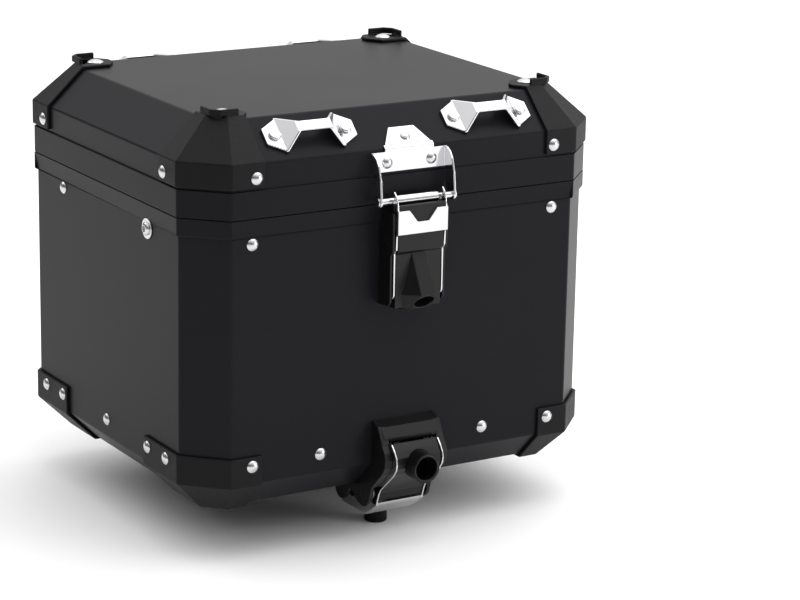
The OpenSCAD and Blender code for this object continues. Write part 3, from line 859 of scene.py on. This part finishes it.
class CASE_OT_stage(CaseOperator):
    """Sets the floor, the light and the camera"""

    bl_idname = "top_case.stage"
    bl_label = "Studio"

    def execute(self, context):
        studio = context.scene.case_studio
        add_floor(studio)
        add_world(studio)
        add_lights(studio)
        add_camera(studio)
        context.scene.view_settings.view_transform = "Standard"
        return {"FINISHED"}


def add_floor(studio):
    """A wide pale floor under the case."""
    solid = bmesh.new()
    bmesh.ops.create_grid(solid, x_segments=4, y_segments=4, size=FLOOR_REACH)
    floor = as_object(solid, "floor")
    floor.location.z = CAD_BOX[0].z
    finish = Finish("floor_paper", Specular_IOR_Level=0.15, Roughness=0.85)
    fibres = finish.noise(9, 3.0)
    finish.set("Base Color", finish.mixed(fibres, tinted(studio.floor, 0.995), studio.floor))
    floor.data.materials.append(finish.material)


def add_world(studio):
    """Soft light, strongest from above and the right and weakest low down at the left."""
    world = bpy.data.worlds.new("studio")
    bpy.context.scene.world = world
    world.use_nodes = True
    nodes, links = world.node_tree.nodes, world.node_tree.links
    ground = nodes["Background"]
    ground.inputs["Color"].default_value = (1.0, 1.0, 1.0, 1.0)
    direction = nodes.new("ShaderNodeTexCoord")
    towards = nodes.new("ShaderNodeVectorMath")
    towards.operation = "DOT_PRODUCT"
    towards.inputs[1].default_value = SKY_DIRECTION
    fade = nodes.new("ShaderNodeMapRange")
    fade.interpolation_type = "SMOOTHSTEP"
    reach = {"From Min": 0.0, "From Max": SKY_FULL, "To Min": studio.dusk, "To Max": studio.sky}
    for socket, value in reach.items():
        fade.inputs[socket].default_value = value
    links.new(direction.outputs["Generated"], towards.inputs[0])
    links.new(towards.outputs["Value"], fade.inputs["Value"])
    links.new(fade.outputs["Result"], ground.inputs["Strength"])


def softbox(name, place, aim, size, power):
    """A rectangular area light that looks at a point."""
    light = bpy.data.lights.new(name, "AREA")
    light.shape = "RECTANGLE"
    light.size, light.size_y = size
    light.energy = power
    lamp = bpy.data.objects.new(name, light)
    bpy.context.scene.collection.objects.link(lamp)
    lamp.location = place
    lamp.rotation_mode = "QUATERNION"
    lamp.rotation_quaternion = (Vector(aim) - Vector(place)).to_track_quat("-Z", "Y")


def add_lights(studio):
    """Softboxes overhead, at the left, behind (the lid's top mirrors it) and at the front right."""
    middle = (CAD_BOX[0] + CAD_BOX[1]) / 2
    softbox("overhead_softbox", (0.7, -0.3, 2.2), middle, (2.4, 2.4), studio.overhead)
    softbox("left_softbox", (-1.4, 1.8, 1.9), middle, (1.7, 1.7), studio.side)
    softbox("rear_softbox", (1.9, 3.0, 1.2), middle, (4.0, 2.0), studio.rear)
    softbox("front_softbox", (1.9, -1.9, 0.5), middle, (0.7, 0.7), studio.front)


def add_camera(studio):
    """A long lens from the front left."""
    turn, rise, roll = studio.azimuth, studio.elevation, studio.roll
    level = math.cos(rise)
    forward = Vector((-math.sin(turn) * level, math.cos(turn) * level, -math.sin(rise)))
    right = forward.cross(Vector((0.0, 0.0, 1.0))).normalized()
    up = right.cross(forward)
    leaned_right = right * math.cos(roll) + up * math.sin(roll)
    leaned_up = up * math.cos(roll) - right * math.sin(roll)
    lens = bpy.data.cameras.new("camera")
    lens.lens = studio.lens
    camera = bpy.data.objects.new("camera", lens)
    bpy.context.scene.collection.objects.link(camera)
    axes = Matrix((leaned_right, leaned_up, -forward)).transposed().to_4x4()
    camera.matrix_world = Matrix.Translation(Vector(studio.aim) - forward * studio.distance) @ axes
    bpy.context.scene.camera = camera


# ---------- panel and registration ----------

GROUPS = (CASE_PG_forming, CASE_PG_colours, CASE_PG_studio)
BUILDERS = (
    CASE_OT_stage,
    CASE_OT_finishes,
    CASE_OT_sheets,
    CASE_OT_rims,
    CASE_OT_guards,
    CASE_OT_rivets,
    CASE_OT_handles,
    CASE_OT_hinges,
    CASE_OT_keeper,
    CASE_OT_latch,
    CASE_OT_release_lock,
    CASE_OT_underside,
)


class CASE_PT_builders(bpy.types.Panel):
    """Lists the builders and their settings"""

    bl_idname = "CASE_PT_builders"
    bl_label = "Top case"
    bl_space_type = "VIEW_3D"
    bl_region_type = "UI"
    bl_category = "Top case"

    def draw(self, context):
        for builder in BUILDERS:
            self.layout.operator(builder.bl_idname)
        for group in (context.scene.case_forming, context.scene.case_colours, context.scene.case_studio):
            box = self.layout.box()
            for name in group.__annotations__:
                box.prop(group, name)


def register():
    """Registers the classes and their settings."""
    for entry in (*GROUPS, *BUILDERS, CASE_PT_builders):
        bpy.utils.register_class(entry)
    bpy.types.Scene.case_forming = PointerProperty(type=CASE_PG_forming)
    bpy.types.Scene.case_colours = PointerProperty(type=CASE_PG_colours)
    bpy.types.Scene.case_studio = PointerProperty(type=CASE_PG_studio)


def unregister():
    """Takes the classes and their settings away again."""
    del bpy.types.Scene.case_studio
    del bpy.types.Scene.case_colours
    del bpy.types.Scene.case_forming
    for entry in reversed((*GROUPS, *BUILDERS, CASE_PT_builders)):
        bpy.utils.unregister_class(entry)


def main():
    """Builds the whole case."""
    register()
    for builder in BUILDERS:
        name = builder.bl_idname.split(".")[1]
        getattr(bpy.ops.top_case, name)()


if __name__ == "__main__":
    main()
